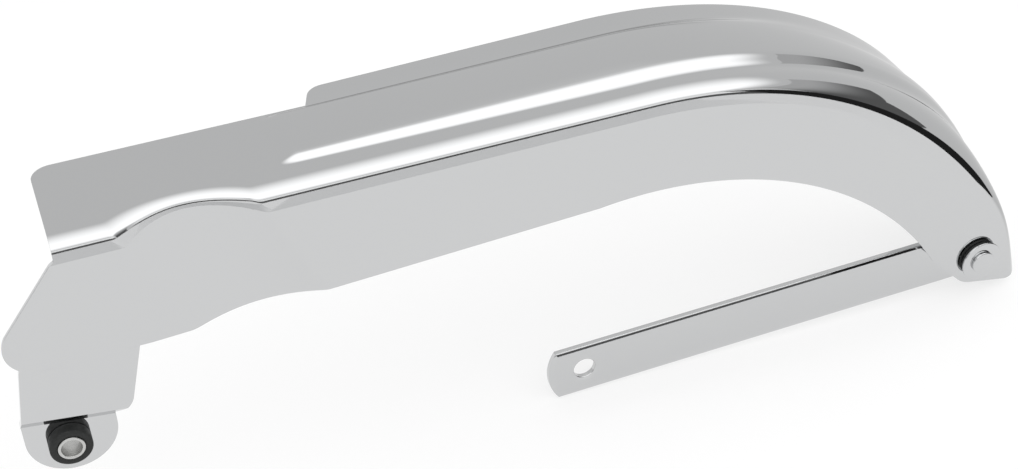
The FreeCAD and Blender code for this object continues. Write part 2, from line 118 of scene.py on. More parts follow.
# Front bracket and bush, as radii and depths; the plate's points are (x, z)
PLATE, TAB_FACE = 2.5, 5.5
PLATE_ROUND, BEND_ROUND = 0.45, 2.0
PLATE_EDGE, PLATE_CORNER, PLATE_FOOT = (34.0, 41.3), (25.4, 8.6), (-16.7, 12.0)
PLATE_CORNER_RADIUS, PLATE_CORNER_STEPS, PLATE_CUT = 9.0, 12, 6.0
BUSH_HOLE, BUSH_OUTER, BUSH_BACK_OUTER = 6.5, 8.5, 7.9
BUSH_FRONT, BUSH_BACK, BUSH_ROUND = 5.2, 3.0, 0.6
SLEEVE_OUTER, SLEEVE_BORE = 5.4, 4.1
SLEEVE_PROUD, SLEEVE_ROUND = 0.5, 0.35

# Rear pivot and strap, as radii and depths
RING_OUTER, RING_FRONT, RING_BACK, RING_ROUND = 9.3, 2.0, 4.0, 0.7
WASHER, WASHER_OUTER, WASHER_ROUND = 1.0, 10.0, 0.3
SHANK, RUNNING_GAP = 4.0, 0.08
HEAD, HEAD_HIGH, RIVET_ROUND = 5.5, 1.4, 0.4
TAIL, TAIL_HIGH, TAIL_TOP_SHARE = 6.2, 1.6, 0.75
BAR, STRAP_ROUND = 3.0, 0.35
ROLL_WIDTH, ROLL_DEPTH = 1.4, 0.5
SET_FROM, SET_TO, SET_END, SET_DEPTH = 14.0, 88.0, 212.0, 4.2

# Mesh work on copied and turned pieces; edges to round are (least angle, most angle) in degrees
WELD, FLAT_ANGLE, OUTWARD = 0.001, 1.5, -0.9
STRAP_EDGES, BEND_EDGES, PLATE_EDGES = (50, 180), (20, 60), (60, 180)
BEVEL_SEGMENTS, ROUND_STEPS, ROUND_SHARE = 4, 5, 0.45
TURNED_SEGMENTS = 72

pivot = Vector(frame["joints"][0]["pos_m"]) / MM
hub = Vector((WRAP_X, 0, CREASE_Z - WRAP_RADIUS))


def smooth(t):
    """0 below 0 and 1 above 1, with a soft change between."""
    t = np.clip(t, 0.0, 1.0)
    return t * t * (3 - 2 * t)


def rounded_ramp(value, softness):
    """0 for low values and the value itself for high ones, with a rounded corner between."""
    return softness * np.logaddexp(0, value / softness)


def new_object(name, mesh):
    obj = bpy.data.objects.new(name, mesh)
    bpy.context.scene.collection.objects.link(obj)
    return obj


def mesh_from(name, points, faces):
    """A mesh from points in millimetres."""
    mesh = bpy.data.meshes.new(name)
    mesh.from_pydata([Vector(p) * MM for p in points], [], faces)
    mesh.update()
    return mesh


def soft_shade(obj, degrees):
    """Smooth shading that keeps edges sharper than the angle."""
    obj.data.shade_smooth()
    obj.data.set_sharp_from_angle(angle=math.radians(degrees))


def stand_for(obj, node, body):
    """Let a piece ride on a body in place of a node."""
    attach(obj, body)
    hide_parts(node)
    return obj


def arc(centre, radius, start, end, steps=24):
    """Points on a circle in a flat view; degrees count from its first axis toward its second."""
    turns = np.radians(np.linspace(start, end, steps))
    return [(centre[0] + radius * math.cos(a), centre[1] + radius * math.sin(a)) for a in turns]


def prism(name, outline, plane, low, high):
    """A closed prism from an outline in the xz or xy plane, between two levels of the third axis."""
    def spot(a, b, level):
        return (a, level, b) if plane == "xz" else (a, b, level)

    count = len(outline)
    points = [spot(a, b, low) for a, b in outline] + [spot(a, b, high) for a, b in outline]
    faces = [list(range(count)), list(range(count, 2 * count))]
    faces += [(i, (i + 1) % count, count + (i + 1) % count, count + i) for i in range(count)]
    mesh = mesh_from(name, points, faces)
    bm = bmesh.new()
    bm.from_mesh(mesh)
    bmesh.ops.recalc_face_normals(bm, faces=bm.faces)
    bm.to_mesh(mesh)
    bm.free()
    return new_object(name, mesh)


def carve(obj, cuts):
    """Apply booleans to an object, in order; cuts are (operation, tool). The tools are removed."""
    for operation, tool in cuts:
        modifier = obj.modifiers.new(tool.name, "BOOLEAN")
        modifier.operation, modifier.object, modifier.solver = operation, tool, "EXACT"
    graph = bpy.context.evaluated_depsgraph_get()
    made = bpy.data.meshes.new_from_object(obj.evaluated_get(graph))
    obj.modifiers.clear()
    obj.data = made
    for _, tool in cuts:
        bpy.data.objects.remove(tool)


# The shell: the sheet's section, sampled along the run and over the wrap


def straight_shape(u):
    """Section sizes of the straight run at place u along the leaning sections."""
    even = np.ones_like(u)
    dent = rounded_ramp(1 - ((u - DENT_X) / DENT_HALF) ** 2, DENT_EDGE)
    crown_level = CROWN_START + CROWN_RUN_IN
    risen = smooth((u - CROWN_START) / CROWN_RUN_IN)
    grown = np.clip((u - crown_level) / (WRAP_X - crown_level), 0.0, 1.0)
    full = CROWN_FRONT_SHARE + (1 - CROWN_FRONT_SHARE) * grown
    return {
        "rim": RIM_HEIGHT * even,
        "nose_y": -OVERHANG + dent * (OVERHANG + DENT_RIM_DEPTH),
        "nose_r": NOSE_RADIUS - DENT_SHARPEN * dent ** 2,
        "panel_y": DENT_DEPTH * dent,
        "crease": CREASE_BLEND + DENT_RISE * dent,
        "tilt": 0 * even,
        "crown": CROWN_HEIGHT * full * risen,
        "front": CROWN_FRONT * even,
        "back": CROWN_BACK * even,
        "ramp": RAMP_WIDTH * full,
        "back_level": RIM_HEIGHT * even,
    }


def wrap_shape(angle):
    """Section sizes of the wrap at an angle past the straight run, in degrees."""
    even = np.ones_like(angle)
    opened = smooth(angle / OPEN_ANGLE)
    spread = RAMP_SPREAD * opened
    fallen = rounded_ramp(angle - FADE_ANGLE, FADE_SOFTNESS) - rounded_ramp(-FADE_ANGLE, FADE_SOFTNESS)
    rim = RIM_HEIGHT - FADE_RATE * fallen
    swell = (rim - NOSE_ROOT - NOSE_RADIUS) * opened * smooth((SWELL_END - angle) / SWELL_FADE)
    return {
        "rim": rim,
        "nose_y": -OVERHANG * smooth(1 - angle / OVERHANG_END),
        "nose_r": NOSE_RADIUS + swell,
        "panel_y": 0 * even,
        "crease": CREASE_BLEND * even,
        "tilt": NOSE_TILT * smooth(angle / TILT_ANGLE),
        "crown": CROWN_HEIGHT * even,
        "front": CROWN_FRONT + spread,
        "back": CROWN_BACK * even,
        "ramp": RAMP_WIDTH + RAMP_SHARE * spread,
        "back_level": rim + CROWN_HEIGHT * smooth(angle / BACK_RISE_ANGLE),
    }


def section_poles(size, inset):
    """Poles of each stretch of the section, as (y, height), at a depth into the sheet."""
    shift, radius = BEND_SHIFT * inset, size["nose_r"] - inset
    behind, ledge = size["back_level"] - inset, size["rim"] - inset
    high, low = size["rim"] + size["crown"] - inset, size["rim"] - size["nose_r"]
    hand, below = RAMP_HAND * size["ramp"], high - RAMP_DROOP * size["crown"]
    arm, bowed = CROWN_ARM * (size["back"] - size["front"]), high + CROWN_BOW * size["crown"]
    back_top, front_top = size["back"] - shift, size["front"] + shift
    back_foot, front_foot = back_top + BACK_RAMP * size["ramp"], front_top - size["ramp"]
    back_hand = BACK_RAMP * hand
    nose_top, nose_out = size["nose_y"] + NOSE_STRETCH * size["nose_r"], size["nose_y"] + inset
    panel, foot = size["panel_y"] + inset, np.minimum(size["crease"], low - UNDERCUT_SHARE * size["nose_r"])
    return {
        "ledge": [(BACK_EDGE, behind), (back_foot, behind)],
        "back_ramp": [(back_foot, behind), (back_foot - back_hand, behind),
                      (back_top + back_hand, below), (back_top, high)],
        "crown": [(back_top, high), (back_top - arm, bowed), (front_top + arm, bowed), (front_top, high)],
        "front_ramp": [(front_top, high), (front_top - hand, below),
                       (front_foot + hand, ledge), (front_foot, ledge)],
        "front_ledge": [(front_foot, ledge), (nose_top, ledge)],
        "nose": [(nose_top, ledge), (nose_top - QUARTER * NOSE_STRETCH * radius, ledge),
                 (nose_out + size["tilt"] * QUARTER * radius, low + QUARTER * radius), (nose_out, low)],
        "undercut": [(nose_out, low), (panel, foot)],
        "panel": [(panel, foot), (panel, -PANEL_DEPTH)],
    }


def bezier(poles, t):
    """(y, height) on the curve of the poles, at shares t along it."""
    power = len(poles) - 1
    weights = [math.comb(power, k) * t ** k * (1 - t) ** (power - k) for k in range(power + 1)]
    return [sum(weight * pole[axis] for weight, pole in zip(weights, poles)) for axis in (0, 1)]


def skin(shape, inset):
    """(y, height) of every sample of one side of the sheet, from back edge to panel foot."""
    stretches, start = [], 0
    for part, count in SAMPLES.items():
        own = {name: v if v.shape[0] == 1 else v[start:start + count] for name, v in shape.items()}
        last = part == "panel"
        t = np.linspace(0, 1, count, endpoint=last)[:, None] ** (PANEL_CROWDING if last else 1.0)
        stretches.append(bezier(section_poles(own, inset)[part], t))
        start += count
    return [np.concatenate(rows) for rows in zip(*stretches)]


def straight_points(x, inset):
    """Skin points at stations x; each point takes its sizes from the section that leans through it."""
    x, lean = x[None, :], math.tan(math.radians(DENT_LEAN))
    y, height = skin(straight_shape(x), inset)
    for _ in range(LEAN_PASSES):
        y, height = skin(straight_shape(x + lean * height), inset)
    return np.stack([np.broadcast_to(x, y.shape), y, CREASE_Z + height], axis=-1)


def wrap_points(angle, inset):
    """Skin points at stations by angle over the wrap."""
    y, height = skin(wrap_shape(angle[None, :]), inset)
    turn, reach = np.radians(angle)[None, :], WRAP_RADIUS + height
    return np.stack([hub.x + reach * np.sin(turn), y, hub.z + reach * np.cos(turn)], axis=-1)


def sheet_mesh(name, outer, inner):
    """Closed mesh of a sheet between two grids of points; the inner side takes the second material."""
    rows, cols = outer.shape[:2]
    count = rows * cols
    index = np.arange(count).reshape(rows, cols)
    quads = np.stack([index[:-1, :-1], index[1:, :-1], index[1:, 1:], index[:-1, 1:]], axis=-1).reshape(-1, 4)
    border = np.concatenate([index[0], index[1:, -1], index[-1, -2::-1], index[-2:0:-1, 0]])
    after = np.roll(border, -1)
    rim = np.stack([border, border + count, after + count, after], axis=-1)
    points = np.concatenate([outer.reshape(-1, 3), inner.reshape(-1, 3)])
    faces = np.concatenate([quads[:, ::-1], quads + count, rim])
    mesh = mesh_from(name, points.tolist(), faces.tolist())
    mesh.polygons.foreach_set("material_index", [0] * len(quads) + [1] * len(quads) + [0] * len(rim))
    return mesh


def panel_outline():
    """Outline of the guard in the side view, open toward the rear and the top."""
    front = arc((LOBE_X, PANEL_BOTTOM + LOBE_RADIUS), LOBE_RADIUS, 180 - FRONT_SLOPE, 270)
    corner_z = CREASE_Z + FRONT_CORNER
    corner_x = front[0][0] + (corner_z - front[0][1]) * math.tan(math.radians(FRONT_SLOPE))
    inner = arc(hub.xz, WRAP_RADIUS - INNER_DEPTH, 90 - INNER_START, 90 - INNER_END, INNER_STEPS)
    tip = pivot.xz
    heel = tip + Vector((HEEL_X, -HEEL_DROP))
    # The foot's arc about the pivot starts and ends where the lines to its neighbours touch it
    inward, across = tip - Vector(inner[-1]), heel - tip
    lead = math.asin(TIP_MARGIN / inward.length)
    foot_from = math.degrees(math.atan2(inward.y, inward.x) - lead) - 90
    spread = math.asin((TIP_MARGIN - HEEL_RADIUS) / across.length)
    foot_to = math.degrees(math.atan2(across.y, across.x) + spread) - 90
    far, top = tip.x + REACH, CREASE_Z + REACH
    return [(corner_x, top), (corner_x, corner_z), *front, (BOTTOM_FLAT_END, PANEL_BOTTOM), *inner,
            *arc(tip, TIP_MARGIN, foot_from, foot_to), *arc(heel, HEEL_RADIUS, foot_to, HEEL_TO),
            (far, tip.y + REACH), (far, top)]


def top_outline():
    """Outline of what the top trim takes away in front of and behind the top of the guard."""
    radius = CORNER_RADIUS
    front = arc((TOP_FRONT + radius, FRONT_BACK_EDGE - radius), radius, 180, 90, CORNER_STEPS)
    step = arc((STEP_X + radius, STEP_BACK_EDGE - radius), radius, 180 - STEP_LEAN, 90, CORNER_STEPS)
    step_foot = step[0][0] - (step[0][1] - FRONT_BACK_EDGE) * math.tan(math.radians(STEP_LEAN))
    far_front, far_back = TOP_FRONT - 2 * REACH, BACK_EDGE + REACH
    return [(far_front, -REACH), (TOP_FRONT, -REACH), *front, (step_foot, FRONT_BACK_EDGE), *step,
            (WRAP_X, BACK_EDGE + TRIM_SLACK), (WRAP_X, far_back), (far_front, far_back)]


def spaced(*stretches):
    """Stations along the run from (start, end, step) stretches."""
    return np.concatenate([np.arange(a, b - step / 2, step) for a, b, step in stretches])


def guard_shell():
    """The pressed sheet, trimmed to its outlines in the side and top views and bored at the pivot."""
    stations, angles = spaced(*RUN_STRETCHES), np.linspace(0, WRAP_ANGLE, WRAP_STATIONS)
    sides = [np.concatenate([straight_points(stations, inset), wrap_points(angles, inset)], axis=1)
             for inset in (0.0, SHEET)]
    obj = new_object("shell_skin", sheet_mesh("shell_skin", *sides))
    trim_from = CREASE_Z + FRONT_CORNER
    bore = arc(pivot.xz, PANEL_HOLE / 2, 0, 360 - 360 / BORE_STEPS, BORE_STEPS)
    carve(obj, [
        ("INTERSECT", prism("side_keep", panel_outline(), "xz", -REACH, BACK_EDGE + REACH)),
        ("DIFFERENCE", prism("top_trim", top_outline(), "xy", trim_from, trim_from + REACH)),
        ("DIFFERENCE", prism("pivot_bore", bore, "xz", -REACH, REACH)),
    ])
    soft_shade(obj, SHELL_SHARP)
    return stand_for(obj, "guard_shell", "guard")


shell = guard_shell()

# Bar and plate: copies of the CAD nodes with their edges rounded


def even_set(place):
    """How far a point of the strap moves in y when the bar's set is spread evenly along it, in metres."""
    along = pivot.x - place.x / MM
    share = np.interp(along, (SET_FROM, SET_END), (0, 1)) - np.interp(along, (SET_FROM, SET_TO), (0, 1))
    return SET_DEPTH * MM * share


def plate_corner_outline():
    """What a larger radius takes off the plate's lower rear corner, in the side view."""
    corner = Vector(PLATE_CORNER)
    up, along = (Vector(PLATE_EDGE) - corner).normalized(), (Vector(PLATE_FOOT) - corner).normalized()
    half = up.angle(along) / 2
    centre = corner + (up + along).normalized() * PLATE_CORNER_RADIUS / math.sin(half)
    reach = PLATE_CORNER_RADIUS / math.tan(half)
    start, sweep = corner + up * reach - centre, math.pi - 2 * half
    rounding = [centre + Matrix.Rotation(-sweep * t, 2) @ start
                for t in np.linspace(0, 1, PLATE_CORNER_STEPS)]
    return [tuple(v) for v in (corner - (up + along) * PLATE_CUT, *rounding)]


def roll_off(bm, width, depth):
    """Let the polished outer face fall away toward its edges, with a sharp line where the fall begins."""
    outer = [face for face in bm.faces if face.normal.y < OUTWARD]
    for vert in {v for face in outer for v in face.verts}:
        vert.co.y += depth * MM
    strip = bmesh.ops.inset_region(bm, faces=outer, thickness=width * MM, depth=depth * MM,
                                   use_boundary=True, use_even_offset=True)["faces"]
    for edge in {e for face in strip for e in face.edges}:
        edge.smooth = not any(face in outer for face in edge.link_faces)


def round_edges(bm, least, most, radius):
    """Round the edges whose faces turn by more than the least angle and at most the other, in degrees."""
    edges = [e for e in bm.edges if e.is_manifold and least < math.degrees(e.calc_face_angle()) <= most]
    bmesh.ops.bevel(bm, geom=edges, offset=radius * MM, offset_type="OFFSET", segments=BEVEL_SEGMENTS,
                    profile=0.5, affect="EDGES", clamp_overlap=True)


def softened(node, body, rounds, roll=None, shift=None, cuts=()):
    """A copy of a node that stands for it; each round is (least edge angle, most edge angle, radius).

    A roll is the (width, depth) by which the polished outer face falls away toward its edges; a shift gives
    the move in y of each point.
    """
    obj = new_object(node + "_skin", nodes[node].data.copy())
    carve(obj, cuts)
    bm = bmesh.new()
    bm.from_mesh(obj.data)
    bmesh.ops.remove_doubles(bm, verts=bm.verts, dist=WELD * MM)
    if shift:
        for vert in bm.verts:
            vert.co.y += shift(vert.co)
    bmesh.ops.dissolve_limit(bm, angle_limit=math.radians(FLAT_ANGLE), verts=bm.verts, edges=bm.edges)
    if roll:
        roll_off(bm, *roll)
    for each in rounds:
        round_edges(bm, *each)
    bm.to_mesh(obj.data)
    bm.free()
    obj.data.shade_smooth()
    obj.modifiers.new("even_faces", "WEIGHTED_NORMAL").keep_sharp = True
    return stand_for(obj, node, body)


strap = softened("support_strap", "strap", [(*STRAP_EDGES, STRAP_ROUND)],
                 roll=(ROLL_WIDTH, ROLL_DEPTH), shift=even_set)
bracket = softened("front_bracket", "guard",
                   [(*BEND_EDGES, BEND_ROUND), (*PLATE_EDGES, PLATE_ROUND)],
                   cuts=[("DIFFERENCE", prism("corner_trim", plate_corner_outline(), "xz", -REACH, REACH))])

# Turned pieces


def eased_profile(profile, radius):
    """A closed profile with its corners rounded, as (radius, y) points; a corner on the axis stays."""
    points = [Vector(p) for p in profile]
    eased = []
    for before, corner, after in zip(points[-1:] + points[:-1], points, points[1:] + points[:1]):
        if corner.x == 0:
            eased.append(corner)
            continue
        sides = [side - corner for side in (before, after)]
        ends = [corner + side.normalized() * min(radius, ROUND_SHARE * side.length) for side in sides]
        for t in np.linspace(0, 1, ROUND_STEPS):
            eased.append(ends[0].lerp(corner, t).lerp(corner.lerp(ends[1], t), t))
    return eased


def turned(node, body, profile, radius, axis=Vector()):
    """A turned piece about a Y axis through a point, which stands for a node."""
    angles = np.linspace(0, math.tau, TURNED_SEGMENTS, endpoint=False)
    turns = [(math.sin(a), math.cos(a)) for a in angles]
    bm = bmesh.new()
    rings = []
    for r, y in eased_profile(profile, radius):
        spots = [Vector((axis.x + r * sx, y, axis.z + r * cz)) for sx, cz in (turns if r > 0 else turns[:1])]
        rings.append([bm.verts.new(spot * MM) for spot in spots])
    for near, far in zip(rings, rings[1:] + rings[:1]):
        for i in range(TURNED_SEGMENTS):
            j = (i + 1) % TURNED_SEGMENTS
            corners = [near[i % len(near)], near[j % len(near)], far[j % len(far)], far[i % len(far)]]
            corners = list(dict.fromkeys(corners))
            if len(corners) > 2:
                bm.faces.new(corners)
    bmesh.ops.recalc_face_normals(bm, faces=bm.faces)
    mesh = bpy.data.meshes.new(node + "_skin")
    bm.to_mesh(mesh)
    bm.free()
    obj = new_object(node + "_skin", mesh)
    soft_shade(obj, TURNED_SHARP)
    return stand_for(obj, node, body)


tab_back, bush_front, bush_back = TAB_FACE + PLATE, TAB_FACE - BUSH_FRONT, TAB_FACE + PLATE + BUSH_BACK
front_grommet = turned("front_grommet", "guard", [
    (SLEEVE_OUTER, bush_front), (BUSH_OUTER, bush_front), (BUSH_OUTER, TAB_FACE), (BUSH_HOLE, TAB_FACE),
    (BUSH_HOLE, tab_back), (BUSH_BACK_OUTER, tab_back), (BUSH_BACK_OUTER, bush_back),
    (SLEEVE_OUTER, bush_back)], BUSH_ROUND)
front_sleeve = turned("front_sleeve", "guard", [
    (SLEEVE_BORE, bush_front - SLEEVE_PROUD), (SLEEVE_OUTER, bush_front - SLEEVE_PROUD),
    (SLEEVE_OUTER, bush_back + SLEEVE_PROUD), (SLEEVE_BORE, bush_back + SLEEVE_PROUD)], SLEEVE_ROUND)

washer_back, ring_back = -RING_FRONT - RUNNING_GAP, SHEET + RING_BACK
washer_face, strap_face = washer_back - WASHER, ring_back + RUNNING_GAP
strap_back = strap_face + BAR
rear_grommet = turned("rear_grommet", "guard", [
    (SHANK + RUNNING_GAP, -RING_FRONT), (RING_OUTER, -RING_FRONT), (RING_OUTER, 0), (PANEL_HOLE / 2, 0),
    (PANEL_HOLE / 2, SHEET), (RING_OUTER, SHEET), (RING_OUTER, ring_back),
    (SHANK + RUNNING_GAP, ring_back)], RING_ROUND, pivot)
pivot_washer = turned("pivot_washer", "strap", [
    (SHANK, washer_face), (WASHER_OUTER, washer_face), (WASHER_OUTER, washer_back),
    (SHANK, washer_back)], WASHER_ROUND, pivot)
pivot_rivet = turned("pivot_rivet", "strap", [
    (0, washer_face - HEAD_HIGH), (HEAD, washer_face - HEAD_HIGH), (HEAD, washer_face), (SHANK, washer_face),
    (SHANK, strap_back), (TAIL, strap_back), (TAIL_TOP_SHARE * TAIL, strap_back + TAIL_HIGH),
    (0, strap_back + TAIL_HIGH)], RIVET_ROUND, pivot)

# Materials: scales are features per metre, heights and radii are millimetres, and pairs are (low, high)

NOISE_RANGE, NOISE_DETAIL = (0.3, 0.7), 4.0  # most of the noise lies in that range
CHROME_COLOUR, CHROME_INSIDE_COLOUR = (0.585, 0.59, 0.595), (0.50, 0.50, 0.495)
SHEET_ROUGHNESS, INSIDE_ROUGHNESS, BAR_ROUGHNESS = (0.02, 0.05), (0.12, 0.22), (0.02, 0.06)
HAZE_SCALE, RIPPLE_SCALE, RIPPLE_DETAIL, RIPPLE_HEIGHT = 90, 35, 1.0, 0.02
EDGE_RADIUS, EDGE_SAMPLES = 0.35, 4
RUBBER_COLOUR, RUBBER_GLOSS, RUBBER_ROUGHNESS = (0.012, 0.013, 0.0125), 0.35, (0.42, 0.6)
RUBBER_PATCHES, RUBBER_GRAIN, RUBBER_GRAIN_HEIGHT = 600, 2500, 0.04
ZINC_COLOUR, ZINC_ROUGHNESS = (0.55, 0.55, 0.54), (0.24, 0.32)
ZINC_SCALE, ZINC_DETAIL, ZINC_STRETCH = 400, 3, (1, 6, 1)


def material(name, colour, metallic=0.0):
    """A material with its colour and metal set, and its tree and shader for more nodes."""
    made = bpy.data.materials.new(name)
    made.use_nodes = True
    shader = made.node_tree.nodes["Principled BSDF"]
    shader.inputs["Base Color"].default_value = (*colour, 1)
    shader.inputs["Metallic"].default_value = metallic
    return made, made.node_tree, shader


def map_range(tree, value, source=(0.0, 1.0), target=(0.0, 1.0), interpolation="LINEAR"):
    """A value carried from one span to another, and held at its ends."""
    node = tree.nodes.new("ShaderNodeMapRange")
    node.interpolation_type = interpolation
    for name, span in (("From", source), ("To", target)):
        for end, number in zip((" Min", " Max"), span):
            node.inputs[name + end].default_value = number
    tree.links.new(value, node.inputs["Value"])
    return node.outputs["Result"]


def noise(tree, scale, detail=NOISE_DETAIL, stretch=(1, 1, 1)):
    """Noise in the piece's own coordinates."""
    place = tree.nodes.new("ShaderNodeTexCoord")
    mapping = tree.nodes.new("ShaderNodeMapping")
    mapping.inputs["Scale"].default_value = stretch
    texture = tree.nodes.new("ShaderNodeTexNoise")
    texture.inputs["Scale"].default_value = scale
    texture.inputs["Detail"].default_value = detail
    tree.links.new(place.outputs["Object"], mapping.inputs["Vector"])
    tree.links.new(mapping.outputs["Vector"], texture.inputs["Vector"])
    return texture.outputs["Fac"]


def roughen(tree, shader, value, roughness):
    """Let a noise drive the roughness over a range."""
    tree.links.new(map_range(tree, value, NOISE_RANGE, roughness), shader.inputs["Roughness"])


def bump(tree, shader, value, height, normal=None):
    """Let a noise of a height in millimetres bend the shading, over another normal if there is one."""
    node = tree.nodes.new("ShaderNodeBump")
    node.inputs["Distance"].default_value = height * MM
    tree.links.new(value, node.inputs["Height"])
    if normal is not None:
        tree.links.new(normal, node.inputs["Normal"])
    tree.links.new(node.outputs["Normal"], shader.inputs["Normal"])


def chrome(name, colour, roughness):
    """Polished plate with a faint haze, slight ripples and softened edges."""
    made, tree, shader = material(name, colour, metallic=1.0)
    roughen(tree, shader, noise(tree, HAZE_SCALE), roughness)
    edge = tree.nodes.new("ShaderNodeBevel")
    edge.samples = EDGE_SAMPLES
    edge.inputs["Radius"].default_value = EDGE_RADIUS * MM
    bump(tree, shader, noise(tree, RIPPLE_SCALE, RIPPLE_DETAIL), RIPPLE_HEIGHT, edge.outputs["Normal"])
    return made


def rubber():
    """Black moulded rubber with a fine grain."""
    made, tree, shader = material("rubber", RUBBER_COLOUR)
    shader.inputs["Specular IOR Level"].default_value = RUBBER_GLOSS
    roughen(tree, shader, noise(tree, RUBBER_PATCHES), RUBBER_ROUGHNESS)
    bump(tree, shader, noise(tree, RUBBER_GRAIN), RUBBER_GRAIN_HEIGHT)
    return made


def zinc():
    """Plated steel with turning marks around its axis."""
    made, tree, shader = material("zinc_steel", ZINC_COLOUR, metallic=1.0)
    roughen(tree, shader, noise(tree, ZINC_SCALE, ZINC_DETAIL, ZINC_STRETCH), ZINC_ROUGHNESS)
    return made


def dress(piece, *materials):
    piece.data.materials.clear()
    for each in materials:
        piece.data.materials.append(each)


chrome_sheet = chrome("chrome_sheet", CHROME_COLOUR, SHEET_ROUGHNESS)
chrome_inside = chrome("chrome_inside", CHROME_INSIDE_COLOUR, INSIDE_ROUGHNESS)
chrome_bar = chrome("chrome_bar", CHROME_COLOUR, BAR_ROUGHNESS)
black_rubber, zinc_steel = rubber(), zinc()
dress(shell, chrome_sheet, chrome_inside)
for finish, pieces in ((chrome_sheet, (bracket,)), (chrome_bar, (strap, pivot_washer, pivot_rivet)),
                       (black_rubber, (front_grommet, rear_grommet)), (zinc_steel, (front_sleeve,))):
    for piece in pieces:
        dress(piece, finish)

# Studio: white table in a pale room that the camera does not see; pairs are a change's start and end

ROOM_RADIUS, ROOM_STEPS, CEILING_HEIGHT = 5.0, 96, 2.4
WALL_LEVEL, DARK_LEVEL = 0.74, 0.12
FRONT_LEVEL, FRONT_DEPTH, FRONT_FOOT = 1.2, (-3.0, -3.7), (0.3, 0.6)
HORIZON_LEVEL, HORIZON_DEPTH, HORIZON_SIDE, HORIZON_FOOT = 0.45, (4.0, 4.5), (0.0, 1.2), (1.5, 0.5)
LAMP_LEVEL, LAMP_SIDES, LAMP_ENDS = 1.75, ((-3.4, -2.4), (3.4, 2.4)), ((-4.6, -1.4), (3.0, -0.4))
TABLE_HEIGHT, TABLE_GAP, TABLE_FRONT = 0.75, 0.0005, -0.31
TABLE_COLOUR, TABLE_ROUGHNESS, TABLE_GLOW = (0.88, 0.88, 0.88), 0.95, 0.7
TABLE_FAR, TABLE_BEHIND = (0.28, 0.6), (0.42, 0.57)
FLAG_LEVEL, FLAG_FROM, FLAG_TO, FLAG_LOW, FLAG_HIGH = 0.02, (0.60, -0.03), (0.42, -0.19), 0.02, 0.26
SCREEN_X, SCREEN_BACK, SCREEN_FRONT, SCREEN_TOP = 3.6, 1.2, -2.6, 2.39
SCREEN_FOOT = ((SCREEN_BACK, 0.85), (0.0, 0.72), (-0.9, -0.1), (SCREEN_FRONT, -0.7))
SCREEN_LEVELS, SCREEN_RISE = (0.13, 0.56), (0.8, 2.1)

scene = bpy.context.scene
scene.view_settings.view_transform = "Standard"
middle_x = (cad_box[0].x + cad_box[1].x) / 2
table_top = cad_box[0].z - TABLE_GAP
floor_z = table_top - TABLE_HEIGHT


def stage_piece(name, points, made, faces=None, seen=False):
    """A piece of the studio from points in metres, one face unless faces are given."""
    faces = faces or [tuple(range(len(points)))]
    obj = new_object(name, mesh_from(name, [Vector(p) / MM for p in points], faces))
    obj.data.materials.append(made)
    obj.visible_camera = seen
    return obj


def math_node(tree, operation, *values):
    """A maths node on sockets or numbers."""
    node = tree.nodes.new("ShaderNodeMath")
    node.operation = operation
    for socket, value in zip(node.inputs, values):
        if isinstance(value, (int, float)):
            socket.default_value = value
        else:
            tree.links.new(value, socket)
    return node.outputs[0]


def product(tree, first, *others):
    """The product of sockets or numbers."""
    for other in others:
        first = math_node(tree, "MULTIPLY", first, other)
    return first


def ease(tree, value, span):
    """0 before the span's start and 1 past its end, with a soft change between."""
    return map_range(tree, value, source=span, interpolation="SMOOTHSTEP")


def between(tree, share, low, high):
    """A value from low to high as the share goes from 0 to 1."""
    return map_range(tree, share, target=(low, high))


def blended(tree, share, first, second):
    """The first socket where the share is 0, and the second where it is 1."""
    rest = math_node(tree, "SUBTRACT", 1.0, share)
    return math_node(tree, "ADD", product(tree, first, rest), product(tree, second, share))


def seen_rays(tree):
    """1 for rays from the camera, from metal and through glass, 0 for the rays that light a matt surface."""
    rays = tree.nodes.new("ShaderNodeLightPath").outputs
    seen = math_node(tree, "MAXIMUM", rays["Is Camera Ray"], rays["Is Glossy Ray"])
    return math_node(tree, "MAXIMUM", seen, rays["Is Transmission Ray"])


def place_axes(tree):
    """X, Y and Z sockets of the place in metres."""
    split = tree.nodes.new("ShaderNodeSeparateXYZ")
    tree.links.new(tree.nodes.new("ShaderNodeTexCoord").outputs["Object"], split.inputs[0])
    return split.outputs


def glow(name, level):
    """An emitting material, and its tree and emission for more nodes."""
    made = bpy.data.materials.new(name)
    made.use_nodes = True
    tree = made.node_tree
    tree.nodes.remove(tree.nodes["Principled BSDF"])
    emission = tree.nodes.new("ShaderNodeEmission")
    emission.inputs["Strength"].default_value = level
    tree.links.new(emission.outputs[0], tree.nodes["Material Output"].inputs["Surface"])
    return made, tree, emission


def ceiling_material():
    """As pale as the walls, with a lamp that fades out over its edges."""
    made, tree, emission = glow("ceiling", WALL_LEVEL)
    axes = place_axes(tree)
    edges = [(axes["X"], span) for span in LAMP_SIDES] + [(axes["Y"], span) for span in LAMP_ENDS]
    share = product(tree, *[ease(tree, axis, span) for axis, span in edges])
    tree.links.new(between(tree, share, WALL_LEVEL, LAMP_LEVEL), emission.inputs["Strength"])
    return made


def wall_material():
    """Pale, with a greyer foot at the back right; brighter behind the camera, over a dark foot."""
    made, tree, emission = glow("studio_wall", WALL_LEVEL)
    axes = place_axes(tree)
    front = ease(tree, axes["Y"], FRONT_DEPTH)
    front_wall = between(tree, ease(tree, axes["Z"], FRONT_FOOT), DARK_LEVEL, FRONT_LEVEL)
    foot = product(tree, ease(tree, axes["Y"], HORIZON_DEPTH), ease(tree, axes["X"], HORIZON_SIDE),
                   ease(tree, axes["Z"], HORIZON_FOOT))
    level = blended(tree, front, between(tree, foot, WALL_LEVEL, HORIZON_LEVEL), front_wall)
    tree.links.new(level, emission.inputs["Strength"])
    return made


